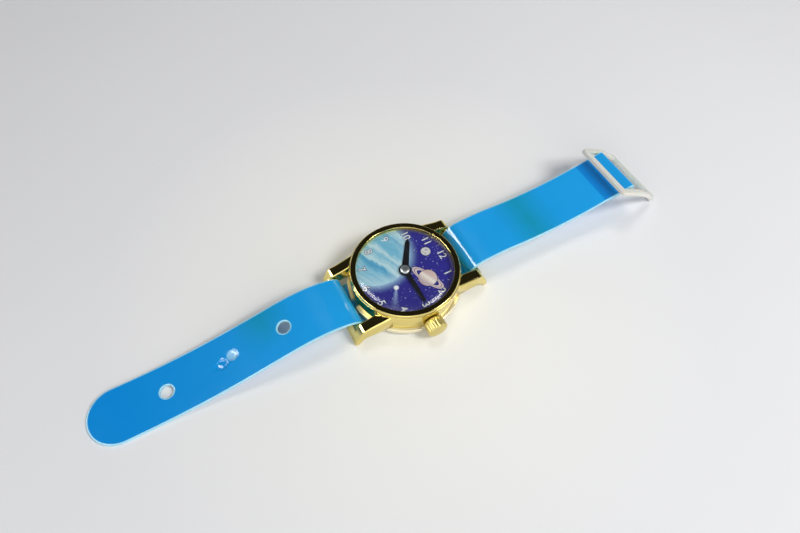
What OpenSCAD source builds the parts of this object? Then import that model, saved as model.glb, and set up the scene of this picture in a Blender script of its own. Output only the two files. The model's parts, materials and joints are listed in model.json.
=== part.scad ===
// Toy wristwatch: plated case, crown that turns the hands, one-piece vinyl strap and slide buckle.
// Sizes are in millimetres. +Z points up out of the dial, +Y to twelve o'clock, +X to three o'clock.
// Z = 0 is the underside of the strap where it passes below the case back.

/* [Case] */
// Radius of the round case wall
case_r = 14.2; // [13.2:0.1:17.4]
// Thickness of the case wall beside the dial
wall_t = 1.55; // [1.3:0.05:1.9]
// Width of the ledges that carry the crystal and the dial plate
ledge_w = 0.6; // [0.4:0.05:0.75]
// Height of the case wall above the top of the crystal ledge
lip_h = 0.42; // [0.3:0.02:0.6]
// Radius of the rounded shoulder at the top of the case wall
shoulder_r = 0.4; // [0.2:0.05:0.6]

/* [Lugs and end plates] */
// Width of a lug where it leaves the case
lug_root_w = 3.3; // [2.6:0.1:4]
// Width of a lug at its outer end
lug_end_w = 2.65; // [2.2:0.05:3]
// Drop from the shoulder to the lug top at its root
lug_root_drop = 0.35; // [0.1:0.05:0.8]
// Height of the lug top at its outer end
lug_tip_z = 5.45; // [5:0.05:6.2]
// Length of the sloping end face of a lug, seen from above
lug_end_run = 2.3; // [1.6:0.1:3]
// Depth of the bevel along the upper edges of a lug
lug_bevel = 0.55; // [0.3:0.05:0.9]
// Radius of the rounded top of an end plate, where the strap bends over it
bar_r = 1.1; // [0.9:0.02:1.35]
// Height of the axis of that rounded top
bar_z = 3.1; // [2.6:0.1:3.6]
// Width of the slot between the case back and an end plate
strap_slot = 1.2; // [1.15:0.05:1.6]
// How far the foot of an end plate stands out past its rounded top
plate_foot = 0.9; // [0.6:0.05:1.2]
// Thickness of an end plate at its foot
plate_foot_t = 1.6; // [1.2:0.1:2.2]

/* [Case back] */
// How far the case-back flange stands out from the case wall
back_lip = 0.7; // [0.4:0.05:1]
// Height of the case-back flange
back_h = 1.55; // [1.2:0.05:1.9]
// Thickness of the case-back floor
floor_t = 0.6; // [0.5:0.05:0.9]
// Thickness of the ring that snaps into the case
spigot_t = 0.9; // [0.6:0.05:1.2]
// Height of the ring that snaps into the case, above the floor
spigot_h = 2.2; // [1.6:0.1:2.6]
// Width of the pry notch at six o'clock
notch_w = 2.6; // [1.8:0.1:4]
// Depth of the pry notch
notch_d = 0.9; // [0.5:0.05:1.2]

/* [Bezel and crystal] */
// Step between the case wall and the bezel's outer edge
bezel_step = 0.4; // [0.3:0.05:0.6]
// Height of the bezel above the shoulder
bezel_h = 0.6; // [0.5:0.05:1.1]
// How far the bezel's inner edge covers the dial
bezel_lip = 0.2; // [0.1:0.05:0.4]
// Thickness of the crystal and of its flange
crystal_t = 0.6; // [0.5:0.05:0.8]
// Rise of the crystal's dome above its flange
dome_h = 1.15; // [0.9:0.05:1.6]

/* [Dial and hands] */
// Thickness of the plate under the dial
plate_t = 0.5; // [0.4:0.05:0.9]
// Thickness of the printed dial card
card_t = 0.25; // [0.15:0.05:0.4]
// Thickness of a hand
hand_t = 0.16; // [0.12:0.02:0.24]
// Free height between the dial and the hands, and between the hands
hand_gap = 0.1; // [0.06:0.02:0.16]
// Length of the hour hand from the centre
hour_len = 9.4; // [6.5:0.1:10.4]
// Width of the hour hand beside the hub
hour_w = 1.75; // [1.2:0.05:2.2]
// Length of the minute hand from the centre
minute_len = 10.5; // [8:0.1:11]
// Width of the minute hand beside the hub
minute_w = 1.35; // [0.9:0.05:1.8]
// Radius of the round eye at the root of each hand
eye_r = 1.6; // [1.3:0.05:2]
// Direction of the hour hand, degrees clockwise from twelve
hour_dir = 300; // [0:1:359]
// Direction of the minute hand, degrees clockwise from twelve
minute_dir = 90; // [0:1:359]
// Radius of the rivet head that holds the hands
rivet_r = 1.2; // [1:0.05:1.5]
// Height of the domed rivet head
rivet_h = 0.55; // [0.35:0.05:0.65]
// Radius of the rivet's shank
shank_r = 0.5; // [0.4:0.02:0.6]

/* [Crown and gears] */
// Radius of the crown
crown_r = 2.55; // [2.2:0.05:3]
// Length of the crown
crown_len = 2.3; // [1.8:0.1:3]
// Number of grooves round the crown
crown_grooves = 18; // [14:1:24]
// Radius of the grooves round the crown
groove_r = 0.26; // [0.2:0.02:0.32]
// Radius of the stem
stem_r = 0.7; // [0.55:0.02:0.85]
// Number of teeth on the stem's pinion
pinion_teeth = 8; // [8:4:8]
// Number of teeth on the hand wheel
wheel_teeth = 24; // [24:8:32]
// Pitch radius of the pinion
pinion_r = 1.44; // [1.3:0.02:1.75]
// Height of a pinion tooth above the pitch circle
tooth_tip = 0.31; // [0.26:0.01:0.36]
// Depth of a pinion tooth below the pitch circle
tooth_root = 0.4; // [0.36:0.01:0.5]
// Length of the gear faces
face_w = 1.1; // [0.8:0.05:1.4]
// Thickness of the hand wheel's disc
wheel_t = 0.45; // [0.4:0.05:0.7]
// Radius of the arbor where it passes the dial
arbor_r = 0.95; // [0.85:0.02:1.1]
// Radius of the arbor's lower pivot
pivot_r = 0.6; // [0.5:0.02:0.7]

/* [Strap] */
// Width of the strap
strap_w = 14; // [11.7:0.1:16.8]
// Thickness of the strap
strap_t = 0.6; // [0.5:0.02:0.72]
// Length of the hole end, from its end plate to the tip along the strap
hole_end_len = 66.2; // [63:0.1:80]
// Slope at which the hole end leaves its end plate
hole_rise = 28; // [15:1:34]
// Slope of the hole end as it falls to the table
hole_fall = 12.5; // [10:0.5:14]
// Radius of the strap holes
hole_r = 1.6; // [1.3:0.05:1.9]
// Distance from the tip to the first hole
tip_to_hole = 18.5; // [15:0.5:24]
// Distance between holes
hole_pitch = 15.3; // [12:0.1:16]
// Depth of the two punch marks at the middle hole
mark_depth = 0.22; // [0.1:0.02:0.35]
// Slope at which the buckle end leaves its end plate
buckle_rise = 24; // [15:1:30]
// Slope at which the buckle end reaches the buckle
buckle_climb = 10; // [8:0.5:13]
// Length of the straight run up to the buckle
buckle_run = 10.9; // [9:0.1:16]
// Length of the welded tail that is folded back under the strap
tail_len = 7; // [5.5:0.1:9]

/* [Buckle] */
// Width of the buckle's side arms
arm_w = 1.8; // [1.4:0.1:2.4]
// Thickness of the buckle frame
frame_t = 1.2; // [1.2:0.05:1.3]
// Radius of the arch that the buckle is curved to
arch_r = 44; // [36:0.5:80]
// Radius of the round centre bar
centre_bar_r = 0.55; // [0.45:0.01:0.6]
// Distance along the arch from the centre bar to the middle of the inner bar
inner_bar_at = 5.25; // [4.4:0.05:5.8]
// Distance along the arch from the centre bar to the middle of the outer bar
outer_bar_at = 11.9; // [10.5:0.1:15.2]
// Width of the inner and outer bars
flat_bar_w = 1.8; // [1.4:0.05:2]

/* [Fits] */
// Radial clearance of parts that turn on each other
run_gap = 0.06; // [0.03:0.01:0.1]
// Clearance of parts that are pushed together and stay
seat_gap = 0.04; // [0.02:0.01:0.06]
// Clearance between the strap and an end plate, and between its loop and the centre bar
strap_gap = 0.1; // [0.06:0.01:0.1]
// Clearance at each side of the strap, between the lugs and in the buckle
side_gap = 0.5; // [0.3:0.05:0.8]
// Clearance between the gear teeth and the floors they pass
mesh_gap = 0.12; // [0.1:0.01:0.2]
// Clearance between a turning part and a fixed face beside it
face_gap = 0.2; // [0.15:0.01:0.35]

/* [Hidden] */

$fn = 96;
eps = 0.01;

gold = [0.86, 0.75, 0.38];
vinyl_blue = [0.08, 0.53, 0.84];
buckle_white = [0.86, 0.87, 0.84];
hand_black = [0.06, 0.06, 0.07];
rivet_silver = [0.75, 0.76, 0.76];
gear_white = [0.9, 0.9, 0.86];
dial_indigo = [0.16, 0.14, 0.55];

// Levels of the stack inside the case, from the table up
back_z = strap_t + seat_gap;
back_top = back_z + back_h;
wall_z = back_top + seat_gap;
floor_z = back_z + floor_t;
pinion_tip_r = pinion_r + tooth_tip;
pinion_root_r = pinion_r - tooth_root;
stem_z = floor_z + face_gap + pinion_tip_r;
wheel_z = stem_z + pinion_tip_r + mesh_gap;
wheel_tip_z = stem_z + pinion_root_r + mesh_gap;
plate_z = wheel_z + wheel_t + mesh_gap;
card_z = plate_z + plate_t;
hour_z = card_z + card_t + hand_gap;
minute_z = hour_z + hand_t + hand_gap;
rivet_z = minute_z + hand_t;
crystal_z = rivet_z + mesh_gap;
shoulder_z = crystal_z + lip_h;
flange_z = crystal_z + crystal_t;

// Radii of the stack inside the case
cavity_r = case_r - wall_t;
low_cavity_r = cavity_r - ledge_w;
crystal_r = cavity_r + ledge_w;
bezel_r = case_r - bezel_step;
bezel_in_r = cavity_r - bezel_lip;
back_r = case_r + back_lip;
spigot_r = low_cavity_r - seat_gap;

// Lugs and end plates
lug_x = strap_w / 2 + side_gap;
bar_y = back_r + strap_slot + bar_r;
lug_end_y = bar_y + bar_r + plate_foot;
lug_tip_y = lug_end_y - lug_end_run;
lug_root_y = 0.6 * case_r;
end_bulge = 1.6;

// Gears
wheel_pitch_r = pinion_r * wheel_teeth / pinion_teeth;
face_in = wheel_pitch_r - face_w / 2;
face_out = wheel_pitch_r + face_w / 2;
tooth_pitch = 2 * PI * pinion_r / pinion_teeth;
wheel_tooth_w = 0.27 * tooth_pitch;
pinion_tip_w = 0.2 * tooth_pitch;
pinion_base_w = 0.44 * tooth_pitch;
crown_x = back_r + face_gap;
collar_r = stem_r + 0.5;
collar_t = 0.6;
cradle_t = 1.2;
cradle_w = 3.2;

// Strap: the line midway through its thickness bends round its supports at these radii
bar_turn_r = bar_r + strap_gap + strap_t / 2;
loop_turn_r = centre_bar_r + strap_gap + strap_t / 2 - eps;
table_bend_r = 1;
// Angle of strap that each swinging end keeps on its end plate, and the angle left free behind it
bar_wrap = 14;
bar_free = 24;
hole_crest_len = 8.8;
hole_shoulder_len = 8.2;
hole_landing_len = 29;
buckle_crest_len = 9.1;
buckle_dip = 5;
buckle_dip_len = 4;
buckle_valley_len = 9;
buckle_sweep_len = 18;
mark_offset = 1.55;
tail_close = 35;
tail_bend_len = 0.9;
corner_r = 1.4;
// Extra size of what a plan outline trims to its edge
trim = 0.4;

function arc_len(r, a) = r * a * PI / 180;
function drop(len, a) = len * 180 / (PI * a) * (1 - cos(a));
function arc_points(c, r, a0, a1, n) =
    [for (k = [0 : n]) let (a = a0 + (a1 - a0) * k / n) [c[0] + r * cos(a), c[1] + r * sin(a)]];

// A trail lists points [y, z, heading, length so far]. It follows moves of [length, turn, steps].
function small_moves(moves) =
    [for (m = moves) for (k = [1 : m[2]]) [m[0] / m[2], m[1] / m[2]]];
function moved(s, m) =
    let (a = s[2] + m[1] / 2)
    [s[0] + m[0] * cos(a), s[1] + m[0] * sin(a), s[2] + m[1], s[3] + m[0]];
function trail(start, moves) =
    let (small = small_moves(moves), n = len(small))
    [for (i = 0, s = start; i <= n; s = i < n ? moved(s, small[i]) : s, i = i + 1) s];
function last(list) = list[len(list) - 1];
function trail_at(points, d) =
    [for (k = [0 : 2]) lookup(d, [for (p = points) [p[3], p[k]]])];
function beside(points, d) = [for (p = points) [p[0] - d * sin(p[2]), p[1] + d * cos(p[2])]];
function reversed(list) = [for (i = [len(list) - 1 : -1 : 0]) list[i]];
function band(points, t) = concat(beside(points, t / 2), reversed(beside(points, -t / 2)));

// Where a trail starts on an end plate's rounded top, when its heading there is a
function on_bar(a) =
    [bar_y - bar_turn_r * sin(a), bar_z + bar_turn_r * cos(a), a, 0];

// Hole end: over a crest, down a slope and out flat on the table
hole_crest_z = bar_z + bar_turn_r * cos(hole_rise) + drop(hole_crest_len, hole_rise);
hole_slope_len = (hole_crest_z - strap_t / 2 - drop(hole_shoulder_len, hole_fall)
    - drop(hole_landing_len, hole_fall)) / sin(hole_fall);
hole_flat_len = hole_end_len - hole_crest_len - hole_shoulder_len - hole_slope_len - hole_landing_len;
wrap_len = arc_len(bar_turn_r, bar_wrap);
hole_trail = trail(on_bar(hole_rise + bar_wrap), [
    [wrap_len, -bar_wrap, 3],
    [hole_crest_len, -hole_rise, 8],
    [hole_shoulder_len, -hole_fall, 5],
    [hole_slope_len, 0, 1],
    [hole_landing_len, hole_fall, 10],
    [hole_flat_len, 0, 1]
]);
hole_trail_len = last(hole_trail)[3];
tip_y = last(hole_trail)[0];

// Buckle end: over a crest, through a shallow valley, up to the buckle's centre bar,
// round it and back along the underside as a tail
tail_lift = loop_turn_r * (1 + cos(tail_close)) - strap_t - seat_gap - drop(tail_bend_len, tail_close);
tail_slant = tail_lift / sin(tail_close);
tail_rest = tail_len - loop_turn_r * sin(tail_close) - tail_slant * cos(tail_close) - tail_bend_len;
buckle_moves = [
    [wrap_len, -bar_wrap, 3],
    [buckle_crest_len, -buckle_rise, 8],
    [buckle_dip_len, -buckle_dip, 2],
    [buckle_valley_len, buckle_dip, 4],
    [buckle_sweep_len, buckle_climb, 6],
    [buckle_run, 0, 1]
];
tail_moves = [
    [arc_len(loop_turn_r, 180 + tail_close), -180 - tail_close, 20],
    [tail_slant, 0, 1],
    [tail_bend_len, tail_close, 4],
    [tail_rest, 0, 1]
];
buckle_end = last(trail(on_bar(buckle_rise + bar_wrap), buckle_moves));
buckle_trail = trail(on_bar(buckle_rise + bar_wrap), concat(buckle_moves, tail_moves));
loop_y = buckle_end[0] + loop_turn_r * sin(buckle_climb);
loop_z = buckle_end[1] - loop_turn_r * cos(buckle_climb);

// Buckle: the tilt that lets its outer bar rest on the table
function arch_angle(d) = d * 180 / (PI * arch_r);
outer_chord = 2 * arch_r * sin(arch_angle(outer_bar_at) / 2);
buckle_tilt = asin((loop_z - flat_bar_w / 2) / outer_chord) - arch_angle(outer_bar_at) / 2;
frame_half_w = strap_w / 2 + side_gap + arm_w;

// Extrudes an outline drawn as [y, z] along X, centred
module along_x(w) {
    rotate([90, 0, 90])
        linear_extrude(height = w, center = true)
            children();
}

module ribbon(points, t, w) {
    along_x(w)
        polygon(band(points, t));
}

// Copies what is drawn at +X +Y to the four corners
module four_corners() {
    for (mx = [0, 1])
        for (my = [0, 1])
            mirror([mx, 0, 0])
                mirror([0, my, 0])
                    children();
}

// The bulging end face shared by the lugs and the end plates, from height z down to the table
function end_face(z, steps) =
    [for (k = [0 : steps]) let (f = z / lug_tip_z * (1 - k / steps))
        [lug_tip_y + lug_end_run * (1 - pow(f, end_bulge)), lug_tip_z * f]];

module lug_side_outline() {
    arch_y = back_r + face_gap;
    arch_sink = 0.75;
    arch_top_r = wall_z + arch_sink;
    root_z = shoulder_z - lug_root_drop;
    tip_cut = 0.1;
    tip = [lug_tip_y, lug_tip_z] + tip_cut * ([lug_root_y, root_z] - [lug_tip_y, lug_tip_z]) / 2;
    polygon(concat(
        [[lug_root_y, wall_z], [lug_root_y, root_z], tip],
        end_face((1 - tip_cut) * lug_tip_z, 6),
        arc_points([arch_y, -arch_sink], arch_top_r, asin(arch_sink / arch_top_r), 90, 6)
    ));
}

// Plate that joins a pair of lugs. The strap comes up behind it and bends over its rounded top.
module end_plate() {
    along_x(2 * lug_x + 1)
        polygon(concat(
            [[bar_y - bar_r, bar_z]],
            end_face(bar_z, 5),
            [[lug_end_y - plate_foot_t, 0]]
        ));
    translate([0, bar_y, bar_z])
        rotate([0, 90, 0])
            cylinder(r = bar_r, h = 2 * lug_x + 1, center = true);
}

module lug_plan_outline() {
    polygon([
        [lug_x, 0], [lug_x, lug_end_y + 1],
        [lug_x + lug_end_w, lug_end_y + 1], [lug_x + lug_end_w, lug_end_y],
        [lug_x + lug_root_w, lug_root_y], [lug_x + lug_root_w, 0]
    ]);
}

// One lug at +X +Y: side profile and plan outline together, with its upper edges bevelled
module lug() {
    slope = atan2(shoulder_z - lug_root_drop - lug_tip_z, lug_tip_y - lug_root_y);
    taper = atan2(lug_root_w - lug_end_w, lug_end_y - lug_root_y);
    tip_w = lug_end_w + lug_end_run * tan(taper);
    difference() {
        intersection() {
            translate([lug_x + lug_root_w / 2, 0, 0])
                along_x(lug_root_w + 1)
                    lug_side_outline();
            linear_extrude(height = shoulder_z + 1)
                lug_plan_outline();
        }
        for (edge = [[lug_x, 0], [lug_x + tip_w, taper]])
            translate([edge[0], lug_tip_y, lug_tip_z])
                rotate([-slope, 0, edge[1]])
                    rotate([0, 45, 0])
                        cube([lug_bevel, 3 * case_r, lug_bevel], center = true);
    }
}

module case_wall() {
    rotate_extrude()
        polygon(concat(
            [[low_cavity_r, wall_z], [case_r - shoulder_r, wall_z], [case_r, wall_z + shoulder_r]],
            arc_points([case_r - shoulder_r, shoulder_z - shoulder_r], shoulder_r, 0, 90, 6),
            [[crystal_r + seat_gap, shoulder_z], [crystal_r + seat_gap, crystal_z]],
            [[cavity_r, crystal_z], [cavity_r, plate_z], [low_cavity_r, plate_z]]
        ));
}

module case_body() {
    color(gold)
        difference() {
            union() {
                case_wall();
                difference() {
                    four_corners()
                        lug();
                    translate([0, 0, wall_z - eps])
                        cylinder(r = (crystal_r + seat_gap + case_r) / 2, h = 2 * shoulder_z);
                    translate([0, 0, -1])
                        cylinder(r = back_r + seat_gap, h = wall_z + 1);
                }
                for (m = [0, 1])
                    mirror([0, m, 0])
                        end_plate();
            }
            translate([low_cavity_r / 2, 0, stem_z])
                rotate([0, 90, 0])
                    cylinder(r = stem_r + run_gap, h = case_r);
        }
}

module bezel() {
    top_r = (bezel_r - bezel_in_r) / 2;
    crown_z = shoulder_z + bezel_h;
    color(gold)
        rotate_extrude()
            polygon(concat(
                [[crystal_r + 2 * seat_gap, shoulder_z + seat_gap], [bezel_r, shoulder_z + seat_gap]],
                [[bezel_r, shoulder_z + 0.45 * bezel_h], [bezel_r - 0.12, shoulder_z + 0.65 * bezel_h]],
                [[bezel_r - 0.35 * top_r, crown_z - 0.06], [bezel_in_r + top_r, crown_z]],
                [[bezel_in_r + 0.3 * top_r, crown_z - 0.04], [bezel_in_r, crown_z - 0.2]],
                [[bezel_in_r, flange_z + seat_gap]],
                [[crystal_r + 2 * seat_gap, flange_z + seat_gap]]
            ));
}

// Height of a shallow dome of the given edge radius and rise, at radius r
function dome_z(edge, rise, r) =
    let (ball = (edge * edge + rise * rise) / (2 * rise)) sqrt(ball * ball - r * r) - ball + rise;

module crystal() {
    edge = bezel_in_r - 2 * seat_gap;
    steps = 10;
    outer = [for (k = [0 : steps]) let (r = edge * (1 - k / steps))
        [r, flange_z + dome_z(edge, dome_h, r)]];
    inner_edge = edge - crystal_t;
    under = crystal_z + seat_gap / 2;
    inner = [for (k = [0 : steps]) let (r = inner_edge * k / steps)
        [r, under + dome_z(inner_edge, dome_h, r)]];
    color([0.9, 0.95, 1, 0.3])
        rotate_extrude()
            polygon(concat(
                [[crystal_r, under], [crystal_r, flange_z]],
                outer, inner
            ));
}

module dial_card() {
    color(dial_indigo)
        translate([0, 0, card_z])
            difference() {
                cylinder(r = cavity_r - seat_gap, h = card_t);
                translate([0, 0, -1])
                    cylinder(r = arbor_r + 2 * run_gap, h = card_t + 2);
            }
}

module dial_plate() {
    color(gear_white)
        translate([0, 0, plate_z])
            difference() {
                cylinder(r = cavity_r - seat_gap, h = plate_t);
                translate([0, 0, -1])
                    cylinder(r = arbor_r + run_gap, h = plate_t + 2);
            }
}

// A tapered hand with a round eye, pointing along +Y
module hand(length, root_w, tip_w) {
    difference() {
        linear_extrude(height = hand_t)
            union() {
                circle(r = eye_r);
                polygon([
                    [-root_w / 2, 0], [root_w / 2, 0],
                    [tip_w / 2, length - tip_w], [0, length], [-tip_w / 2, length - tip_w]
                ]);
            }
        translate([0, 0, -1])
            cylinder(r = shank_r + seat_gap, h = hand_t + 2);
    }
}

module hour_hand() {
    color(hand_black)
        translate([0, 0, hour_z])
            rotate(-hour_dir)
                hand(hour_len, hour_w, 0.72 * hour_w);
}

module minute_hand() {
    color(hand_black)
        translate([0, 0, minute_z])
            rotate(-minute_dir)
                hand(minute_len, minute_w, 0.72 * minute_w);
}

module hub_rivet() {
    steps = 8;
    cap = [for (k = [0 : steps]) let (r = rivet_r * (1 - k / steps))
        [r, rivet_z + seat_gap + 0.15 + dome_z(rivet_r, rivet_h - 0.15, r)]];
    color(rivet_silver)
        rotate_extrude()
            polygon(concat(
                [[0, wheel_z + 2 * seat_gap], [shank_r, wheel_z + 2 * seat_gap]],
                [[shank_r, rivet_z + seat_gap], [rivet_r, rivet_z + seat_gap]],
                cap
            ));
}

// Contrate wheel: its teeth stand down from the disc, and its arbor carries the hands
module hand_wheel() {
    hand_seat_z = hour_z - seat_gap;
    pitch = 360 / wheel_teeth;
    color(gear_white)
        difference() {
            union() {
                translate([0, 0, wheel_z])
                    cylinder(r = face_out, h = wheel_t);
                translate([0, 0, wheel_z])
                    cylinder(r = arbor_r, h = hand_seat_z - wheel_z);
                translate([0, 0, floor_z + face_gap])
                    cylinder(r = pivot_r, h = wheel_z - floor_z);
                for (k = [0 : wheel_teeth - 1])
                    rotate((k + 0.5) * pitch)
                        translate([face_in, -wheel_tooth_w / 2, wheel_tip_z])
                            cube([face_w - eps, wheel_tooth_w, wheel_z + wheel_t / 2 - wheel_tip_z]);
            }
            translate([0, 0, wheel_z + seat_gap])
                cylinder(r = shank_r + seat_gap, h = hand_seat_z);
        }
}

module pinion() {
    pitch = 360 / pinion_teeth;
    cylinder(r = pinion_root_r, h = face_w);
    for (k = [0 : pinion_teeth - 1])
        rotate(k * pitch)
            linear_extrude(height = face_w)
                polygon([
                    [pinion_root_r / 2, -pinion_base_w / 2], [pinion_root_r, -pinion_base_w / 2],
                    [pinion_tip_r, -pinion_tip_w / 2], [pinion_tip_r, pinion_tip_w / 2],
                    [pinion_root_r, pinion_base_w / 2], [pinion_root_r / 2, pinion_base_w / 2]
                ]);
}

module stem() {
    collar_x = low_cavity_r - face_gap - collar_t;
    color(gear_white)
        translate([0, 0, stem_z])
            rotate([0, 90, 0]) {
                translate([0, 0, face_in])
                    pinion();
                translate([0, 0, face_in])
                    cylinder(r = stem_r, h = crown_x + crown_len / 2 - face_in);
                translate([0, 0, collar_x])
                    cylinder(r = collar_r, h = collar_t);
            }
}

module crown() {
    round_r = 0.45;
    color(gold)
        translate([crown_x, 0, stem_z])
            rotate([0, 90, 0])
                difference() {
                    rotate_extrude()
                        polygon(concat(
                            [[0, 0], [crown_r - 0.15, 0], [crown_r, 0.15]],
                            arc_points([crown_r - round_r, crown_len - round_r], round_r, 0, 75, 6),
                            [[0, crown_len + 0.12]]
                        ));
                    for (k = [0 : crown_grooves - 1])
                        rotate(k * 360 / crown_grooves)
                            translate([crown_r + 0.3 * groove_r, 0, -1])
                                cylinder(r = groove_r, h = crown_len + 2, $fn = 24);
                    translate([0, 0, -1])
                        cylinder(r = stem_r + seat_gap, h = crown_len / 2 + 1 + seat_gap);
                }
}

// Case back: flanged cover with a snap ring, the arbor's bush and the stem's cradle
module case_back() {
    cradle_x = face_out + face_gap;
    bush_r = pivot_r + 0.8;
    bush_top = stem_z - stem_r - face_gap;
    color(gold)
        difference() {
            union() {
                rotate_extrude()
                    polygon([
                        [0, back_z], [back_r - 0.35, back_z], [back_r, back_z + 0.35],
                        [back_r, back_top - 0.25], [back_r - 0.25, back_top],
                        [spigot_r, back_top], [spigot_r, floor_z + spigot_h],
                        [spigot_r - spigot_t, floor_z + spigot_h], [spigot_r - spigot_t, floor_z],
                        [0, floor_z]
                    ]);
                translate([0, 0, floor_z - eps])
                    cylinder(r = bush_r, h = bush_top - floor_z);
                translate([cradle_x, -cradle_w / 2, floor_z - eps])
                    cube([cradle_t, cradle_w, stem_z - floor_z + 0.3]);
            }
            translate([0, 0, floor_z + seat_gap])
                cylinder(r = pivot_r + run_gap, h = bush_top);
            translate([0, 0, stem_z])
                rotate([0, 90, 0])
                    cylinder(r = stem_r + run_gap, h = back_r);
            translate([0, -stem_r - run_gap, stem_z])
                cube([back_r, 2 * (stem_r + run_gap), back_r]);
            translate([spigot_r - spigot_t - 1, -collar_r - face_gap, stem_z - collar_r - face_gap])
                cube([spigot_t + 2, 2 * (collar_r + face_gap), back_r]);
            translate([-notch_w / 2, -back_r - 1, back_z - 1])
                cube([notch_w, notch_d + 1, back_h + 2]);
        }
}

// Half of the strap that stays with the case: flat below it, then up behind an end plate
module strap_wrap(rise) {
    rise_y = bar_y - bar_turn_r;
    rise_len = bar_z - strap_t / 2 - table_bend_r;
    turn = 90 - rise - bar_wrap - bar_free;
    ribbon(trail([-1, strap_t / 2, 0, 0], [
        [rise_y - table_bend_r + 1, 0, 1],
        [arc_len(table_bend_r, 90), 90, 8],
        [rise_len, 0, 1],
        [arc_len(bar_turn_r, turn), -turn, 4]
    ]), strap_t, strap_w);
}

module strap_under_case() {
    color(vinyl_blue) {
        strap_wrap(buckle_rise);
        mirror([0, 1, 0])
            strap_wrap(hole_rise);
    }
}

// Places something on the hole end, square to the strap, at a distance back from the tip
module at_hole(from_tip) {
    p = trail_at(hole_trail, hole_trail_len - from_tip);
    translate([0, p[0], p[1]])
        rotate([p[2], 0, 0])
            children();
}

module strap_hole_end() {
    color(vinyl_blue)
        mirror([0, 1, 0])
            difference() {
                intersection() {
                    ribbon(hole_trail, strap_t, strap_w);
                    translate([0, 0, -1])
                        linear_extrude(height = 4 * bar_z)
                            union() {
                                translate([-strap_w / 2, 0])
                                    square([strap_w, tip_y - strap_w / 2]);
                                translate([0, tip_y - strap_w / 2])
                                    circle(r = strap_w / 2);
                            }
                }
                for (k = [0, 2])
                    at_hole(tip_to_hole + k * hole_pitch)
                        cylinder(r = hole_r, h = 4 * strap_t, center = true);
                for (side = [-1, 1])
                    at_hole(tip_to_hole + hole_pitch + side * mark_offset)
                        translate([-side * 0.45, 0, strap_t / 2 - mark_depth])
                            cylinder(r = hole_r - 0.2, h = strap_t);
            }
}

// Part of a ring about the X axis, between two angles measured from +Y towards +Z
module ring_part(r, t, w, a0, a1) {
    rotate([90, 0, 90])
        rotate(a0)
            rotate_extrude(angle = a1 - a0)
                translate([r - t / 2, -w / 2])
                    square([t, w]);
}

// The buckle end, with a true round bore for the centre bar
module strap_buckle_end() {
    color(vinyl_blue)
        difference() {
            ribbon(buckle_trail, strap_t, strap_w);
            translate([0, loop_y, loop_z])
                rotate([0, 90, 0])
                    cylinder(r = centre_bar_r + strap_gap, h = strap_w + 2, center = true);
        }
}

module buckle_plan_outline() {
    front = outer_chord * cos(arch_angle(outer_bar_at) / 2) + flat_bar_w / 2 + trim;
    rear = inner_bar_at + flat_bar_w / 2;
    translate([-frame_half_w, corner_r - rear])
        square([2 * frame_half_w, front + rear - 2 * corner_r]);
    translate([corner_r - frame_half_w, -rear])
        square([2 * (frame_half_w - corner_r), front + rear]);
    for (x = [corner_r - frame_half_w, frame_half_w - corner_r])
        for (y = [corner_r - rear, front - corner_r])
            translate([x, y])
                circle(r = corner_r);
}

// Slide buckle: an arched frame of two arms, a flat inner bar and a round outer bar,
// with a round centre bar in the strap's loop
module buckle() {
    rear_a = 90 + arch_angle(inner_bar_at + flat_bar_w);
    front_a = 90 - arch_angle(outer_bar_at);
    opening_x = frame_half_w - arm_w;
    color(buckle_white)
        translate([0, loop_y, loop_z])
            rotate([-buckle_tilt, 0, 0]) {
                intersection() {
                    translate([0, 0, -arch_r]) {
                        difference() {
                            ring_part(arch_r, frame_t, 2 * frame_half_w + trim, front_a, rear_a);
                            translate([-opening_x, flat_bar_w / 2 - inner_bar_at, 0])
                                cube([2 * opening_x, arch_r, 2 * arch_r]);
                        }
                        rotate([front_a, 0, 0])
                            translate([0, arch_r, 0])
                                rotate([0, 90, 0])
                                    cylinder(r = flat_bar_w / 2, h = 2 * frame_half_w + trim, center = true);
                    }
                    linear_extrude(height = arch_r, center = true)
                        buckle_plan_outline();
                }
                rotate([0, 90, 0])
                    cylinder(r = centre_bar_r, h = 2 * frame_half_w - arm_w, center = true);
            }
}

case_body();
bezel();
crystal();
dial_card();
dial_plate();
hour_hand();
minute_hand();
hub_rivet();
hand_wheel();
stem();
crown();
case_back();
strap_under_case();
strap_hole_end();
strap_buckle_end();
buckle();
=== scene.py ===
"""Looks of a toy wristwatch, made round its packed CAD frame.

The file is laid out as a Blender add-on and is run as a script. Shapes are worked out in
millimetres and scaled to metres when a piece is finished.
"""

import json
import math

import bmesh
import bpy
from bpy.props import FloatProperty, FloatVectorProperty, IntProperty, PointerProperty
from mathutils import Matrix, Vector


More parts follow.
